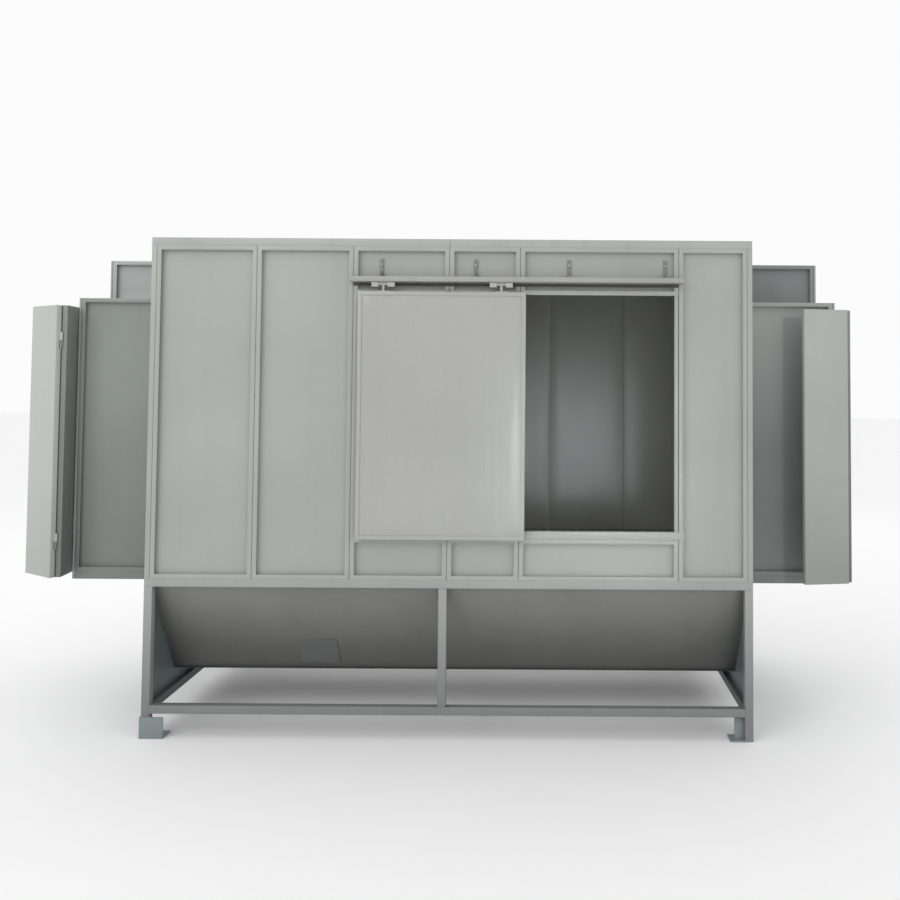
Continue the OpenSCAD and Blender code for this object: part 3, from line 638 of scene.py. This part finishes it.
mastic = enamel("seam_mastic", MASTIC_COLOUR, gloss=0.55, dust=0.3)
FRONT_PANS = ("front_panel_1", "front_panel_2", "right_front_panel", "door_bay_panel_1", "door_bay_panel_2",
              "apron_1", "apron_2", "apron_3", "transom_1", "transom_2", "transom_3")
for node in FRONT_PANS:
    low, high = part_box(node)
    folded_pan(f"{node}_pan", node, low, high, (0, -1, 0), shell_paint)
    if node != "right_front_panel":
        mastic_bead(f"{node}_mastic", node, (high.x + MASTIC_CLEAR, low.y + MASTIC_BACK, low.z),
                    (high.x + SEAM - MASTIC_CLEAR, low.y + MASTIC_DEPTH, high.z))

rear_low, rear_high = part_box("rear_wall_panels")
for number, (low, high) in enumerate(solid_boxes("rear_wall_panels"), 1):
    folded_pan(f"rear_pan_{number}", "rear_wall_panels", low, high, (0, 1, 0), shell_paint)
    if high.x < rear_high.x - SEAM:
        mastic_bead(f"rear_mastic_{number}", "rear_wall_panels",
                    (high.x + MASTIC_CLEAR, rear_low.y, low.z),
                    (high.x + SEAM - MASTIC_CLEAR, high.y - MASTIC_BACK, high.z))

# ---------------------------------------------------------------------------
# Door opening
# Jambs folded from 2 mm sheet line both sides of the opening, and a deep sill with a turned-down lip
# runs below it. They close the cut edges of the pans, and are sprayed with the walls.
# ---------------------------------------------------------------------------
OPENING_FOLD = 0.0015

worked_copy("opening_jamb_pair", "opening_jambs", shell_paint, radius=OPENING_FOLD)
worked_copy("sill_fold", "sill", shell_paint, radius=OPENING_FOLD, segments=3)

# ---------------------------------------------------------------------------
# Roof
# Six upturned pans of 2 mm sheet close the top. Four capping angles of 3 mm plate are welded round its
# edge, and the front one is butted from two lengths.
# ---------------------------------------------------------------------------
CAP_COLOUR = (0.360, 0.372, 0.362)
BUTT_HALF = 0.002
BUTT_DEPTH = 0.004
BUTT_PROUD = (0.0006, 0.0004)

cap_paint = enamel("cap_enamel", CAP_COLOUR, gloss=0.40, dust=0.2)
roof_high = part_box("roof_panels")[1]
for number, (low, high) in enumerate(solid_boxes("roof_panels"), 1):
    folded_pan(f"roof_pan_{number}", "roof_panels", low, high, (0, 0, 1), shell_paint)
    if high.x < roof_high.x - SEAM:
        mastic_bead(f"roof_mastic_{number}", "roof_panels", (high.x + MASTIC_CLEAR, low.y, low.z),
                    (high.x + SEAM - MASTIC_CLEAR, high.y, high.z - MASTIC_BACK))
worked_copy("capping_angles", "top_caps", cap_paint, radius=0.0010)
cap_low, cap_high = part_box("top_caps")
joint_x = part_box("door_bay_panel_2")[0].x
mastic_bead("cap_butt_joint", "top_caps",
            (joint_x - BUTT_HALF, cap_low.y - BUTT_PROUD[0], cap_low.z),
            (joint_x + BUTT_HALF, cap_low.y + BUTT_DEPTH, cap_high.z + BUTT_PROUD[1]))

# ---------------------------------------------------------------------------
# End walls
# The same folded pans, of 2 mm sheet, close each end of the cabinet beside and above the way through.
# A short folded strip bridges the slot that a conveyor's hooks pass through.
# ---------------------------------------------------------------------------
for side, facing in (("left", -1), ("right", 1)):
    for number, (low, high) in enumerate(solid_boxes(f"{side}_end_wall"), 1):
        folded_pan(f"{side}_end_pan_{number}", f"{side}_end_wall", low, high, (facing, 0, 0), shell_paint)

# ---------------------------------------------------------------------------
# Vestibules
# Tunnels of the same folded pans stand out at both ends, on a base rail along each side. Each side's
# grey, and each hood's, is set to its own brightness as painted light and shade; the sides darken towards
# the floor as painted shade, and the right side panel carries a painted reflection of its baffle leaf.
# ---------------------------------------------------------------------------
VEST_LIT_AND_SHADED_COLOURS = {"left": (0.250, 0.275, 0.258), "right": (0.325, 0.348, 0.335)}
HOOD_LIT_AND_SHADED_COLOURS = {"left": (0.410, 0.425, 0.425), "right": (0.195, 0.210, 0.208)}
RAIL_CORNER = 0.0018
UPWARD = (0, 0, 1)
DOWNWARD = (0, 0, -1)

# Painted light and shade: each side's grey is set to its own brightness, and dark_below darkens it towards
# the floor.
vest_paints = {"left": enamel("left_vestibule_shaded_enamel", VEST_LIT_AND_SHADED_COLOURS["left"], cloud=0.07,
                              dark_below=(1.9, 0.70, 0.30)),
               # Painted reflection: the strip on the right side is a dark upright band beside the baffle
               # leaf, fixed on the panel.
               "right": enamel("right_vestibule_shaded_enamel", VEST_LIT_AND_SHADED_COLOURS["right"], cloud=0.12,
                               dark_below=(2.20, 1.05, 0.36), painted_reflection_strip=(1.738, 1.845, 2.12, 0.22))}
# Painted light and shade: the left hood's grey is set about twice as bright as the right one's.
hood_paints = {side: enamel(f"{side}_hood_light_and_shade_enamel", colour, cloud=0.07)
               for side, colour in HOOD_LIT_AND_SHADED_COLOURS.items()}
for side in ("left", "right"):
    vest_paint, hood_paint = vest_paints[side], hood_paints[side]
    for number, (low, high) in enumerate(solid_boxes(f"{side}_vestibule_sides"), 1):
        folded_pan(f"{side}_vestibule_side_{number}", f"{side}_vestibule_sides", low, high,
                   (0, -1 if number == 1 else 1, 0), vest_paint)
    for number, (low, high) in enumerate(solid_boxes(f"{side}_vestibule_roof"), 1):
        folded_pan(f"{side}_vestibule_roof_{number}", f"{side}_vestibule_roof", low, high, UPWARD,
                   vest_paint)
    for number, (low, high) in enumerate(solid_boxes(f"{side}_vestibule_floor"), 1):
        if high.y - low.y > 2 * PAN_DEPTH:
            folded_pan(f"{side}_vestibule_tread", f"{side}_vestibule_floor", low, high, DOWNWARD,
                       vest_paint)
        else:
            square_tube(f"{side}_base_rail_{number}", f"{side}_vestibule_floor", low, high, ALONG_X,
                        vest_paint, SHEET, RAIL_CORNER)
    low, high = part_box(f"{side}_slot_hood")
    hood = f"{side}_slot_hood"
    folded_pan(f"{side}_hood_front", hood, low, (high.x, low.y + PAN_DEPTH, high.z), (0, -1, 0),
               hood_paint)
    folded_pan(f"{side}_hood_rear", hood, (low.x, high.y - PAN_DEPTH, low.z), high, (0, 1, 0),
               hood_paint)
    folded_pan(f"{side}_hood_top", hood, (low.x, low.y + PAN_DEPTH, high.z - PAN_DEPTH),
               (high.x, high.y - PAN_DEPTH, high.z), UPWARD, hood_paint)

# ---------------------------------------------------------------------------
# End frames
# A stepped frame, welded from flat steel bar, closes the edge of each vestibule. Lugs on its stiles
# carry the pins that the baffle doors turn on.
# ---------------------------------------------------------------------------
END_FRAME_COLOUR = (0.305, 0.325, 0.315)

end_frame_paint = enamel("end_frame_enamel", END_FRAME_COLOUR, gloss=0.42, dust=0.3)
for side in ("left", "right"):
    worked_copy(f"{side}_end_frame_bars", f"{side}_end_frame", end_frame_paint, radius=0.0010)

# ---------------------------------------------------------------------------
# Door track
# A slotted box rail, folded from sheet, hangs from four brackets of steel plate. Each bracket is held to
# a pan's sheet by zinc-plated hexagon bolts.
# ---------------------------------------------------------------------------
TRACK_COLOUR = (0.33, 0.335, 0.32)
BRACKET_SHADE_COLOUR = (0.20, 0.205, 0.20)
ZINC_COLOUR = (0.34, 0.34, 0.335)

track_paint = enamel("track_enamel", TRACK_COLOUR, gloss=0.42, dust=0.3)
# Painted shade: the brackets' grey is set much darker than the rail's.
bracket_shade_paint = enamel("bracket_shade_enamel", BRACKET_SHADE_COLOUR, gloss=0.5, dust=0.5)
bolt_zinc = enamel("bolt_zinc", ZINC_COLOUR, gloss=0.35, dust=0.5, cloud=0.15)
worked_copy("slotted_rail", "track_rail", track_paint)
worked_copy("plate_brackets", "track_brackets", bracket_shade_paint)
worked_copy("hex_bolts", "bracket_bolts", bolt_zinc, radius=0.0005)

# ---------------------------------------------------------------------------
# Shade strip under the rail
# A strip of black rubber runs along the transoms just below the rail. It is painted shade: a dark piece
# put in the gap behind the top of the door, where the rail's shade falls.
# ---------------------------------------------------------------------------
SHADE_STRIP_HEIGHT = 0.014
SHADE_STRIP_THICK = 0.004
SHADE_STRIP_DROP = 0.004
RUBBER_COLOUR = (0.060, 0.054, 0.050)

rubber = enamel("black_rubber", RUBBER_COLOUR, gloss=0.65, dust=0.5)


def rubber_strip(name, body, low, high):
    """A strip of rubber between two corners, which moves with a body and stands for no CAD node."""
    strip = soft_strip(name, low, high)
    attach(strip, body)
    strip.data.materials.append(rubber)


rail_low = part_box("track_rail")[0]
transom_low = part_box("transom_1")[0]
transom_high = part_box("transom_3")[1]
shade_strip_top = rail_low.z - SHADE_STRIP_DROP
# Painted shade: a black strip where the rail's shade falls behind the top of the door.
rubber_strip("rail_shade_strip", "root", (transom_low.x, transom_low.y - SHADE_STRIP_THICK, shade_strip_top - SHADE_STRIP_HEIGHT),
             (transom_high.x, transom_low.y, shade_strip_top))

# ---------------------------------------------------------------------------
# Sliding door
# One large tray with its lips to the rear and a flat strip welded round its face. The wide sheet has
# drawn into shallow waves, and its enamel is a little glossier than the walls'.
# ---------------------------------------------------------------------------
DOOR_STRIP = 0.020
DOOR_STRIP_THICK = 0.003
DOOR_SWELL = 0.0005
DOOR_WAVE = 0.0022
DOOR_COLOUR = (0.366, 0.371, 0.347)

door_paint = enamel("door_enamel", DOOR_COLOUR, gloss=0.27, cloud=0.04)
door_low, door_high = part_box("door_leaf")
sheet_front = door_low.y + DOOR_STRIP_THICK
folded_pan("door_tray", "door_leaf", (door_low.x, sheet_front, door_low.z), door_high, (0, 1, 0),
           door_paint, swell=DOOR_SWELL, wave=DOOR_WAVE)

strip = block("door_face_strip", door_low, (door_high.x, sheet_front + SHEET / 2, door_high.z))
select_faces(strip, lambda normal: abs(normal.y) > FACES_SAME_WAY)
bpy.ops.mesh.inset(thickness=DOOR_STRIP)
bpy.ops.mesh.bridge_edge_loops()
bpy.ops.mesh.select_all(action="SELECT")
bpy.ops.mesh.normals_make_consistent(inside=False)
bpy.ops.object.mode_set(mode="OBJECT")
round_edges(strip, radius=0.0010)
stands_for(strip, "door_leaf", door_paint)

# ---------------------------------------------------------------------------
# Trolleys
# Two hangers carry the door: a plate between the rail's lips, two clamp blocks, a stem and a foot
# welded to the door's top. Each has two axles with a steel wheel at either end.
# ---------------------------------------------------------------------------
HANGER_COLOUR = (0.40, 0.405, 0.39)
WHEEL_COLOUR = (0.30, 0.30, 0.295)
WHEEL_SETS = 4

hanger_paint = enamel("hanger_enamel", HANGER_COLOUR, gloss=0.4, dust=0.35)
wheel_steel = enamel("wheel_steel", WHEEL_COLOUR, gloss=0.3, dust=0.5, cloud=0.12)
worked_copy("hanger_pair", "door_hangers", hanger_paint, radius=0.0010)
for number in range(1, WHEEL_SETS + 1):
    worked_copy(f"wheel_set_{number}", f"wheel_{number}", wheel_steel, radius=0.0006, angle=50.0)

# ---------------------------------------------------------------------------
# Baffle doors
# Each vestibule's end is closed by two pairs of narrow leaves, folded from 2 mm sheet and open below.
# A pair turns on pins in the end frame and folds on pins between its leaves.
# ---------------------------------------------------------------------------
LEAF_LIT_AND_SHADED_COLOURS = {"left": (0.425, 0.445, 0.428), "right": (0.345, 0.355, 0.345)}
LEAF_SHADE_SHARE = {"left": 0.12, "right": 0.22}
STILE_LEAF_SHADE_COLOUR = (0.215, 0.232, 0.22)
LEAF_FOLD = 0.0016
HINGE_SEAL = 0.0034
HINGE_SEAL_SHORT = 0.002

# Painted light and shade: the left free leaves' grey is set lighter than the right ones', and dark_below
# darkens both towards the floor.
leaf_paints = {side: enamel(f"{side}_leaf_enamel", colour, cloud=0.05,
                            dark_below=(1.5, 0.72, LEAF_SHADE_SHARE[side]))
               for side, colour in LEAF_LIT_AND_SHADED_COLOURS.items()}
# Painted shade: the stile leaves' grey is set about half as bright as the left free leaves', and darkens
# towards the floor.
stile_leaf_shade_paint = enamel("stile_leaf_shade_enamel", STILE_LEAF_SHADE_COLOUR, cloud=0.08, dust=0.3,
                          dark_below=(2.2, 0.72, 0.30))
joints = {joint["name"]: joint for joint in frame["record"]["behaviour"]["joints"]}
for side in ("left", "right"):
    for face in ("front", "rear"):
        for kind in ("stile", "free"):
            paint = stile_leaf_shade_paint if kind == "stile" else leaf_paints[side]
            worked_copy(f"{side}_{face}_{kind}_baffle", f"{side}_{face}_{kind}_leaf", paint,
                        radius=LEAF_FOLD, segments=3)

        pin_x, pin_y, _ = joints[f"{side}_{face}_free_leaf_fold"]["pos_m"]
        low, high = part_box(f"{side}_{face}_stile_leaf")
        rubber_strip(f"{side}_{face}_hinge_seal", f"{side}_{face}_stile_leaf",
                     (pin_x - HINGE_SEAL / 2, pin_y - HINGE_SEAL / 2, low.z + HINGE_SEAL_SHORT),
                     (pin_x + HINGE_SEAL / 2, pin_y + HINGE_SEAL / 2, high.z - HINGE_SEAL_SHORT))
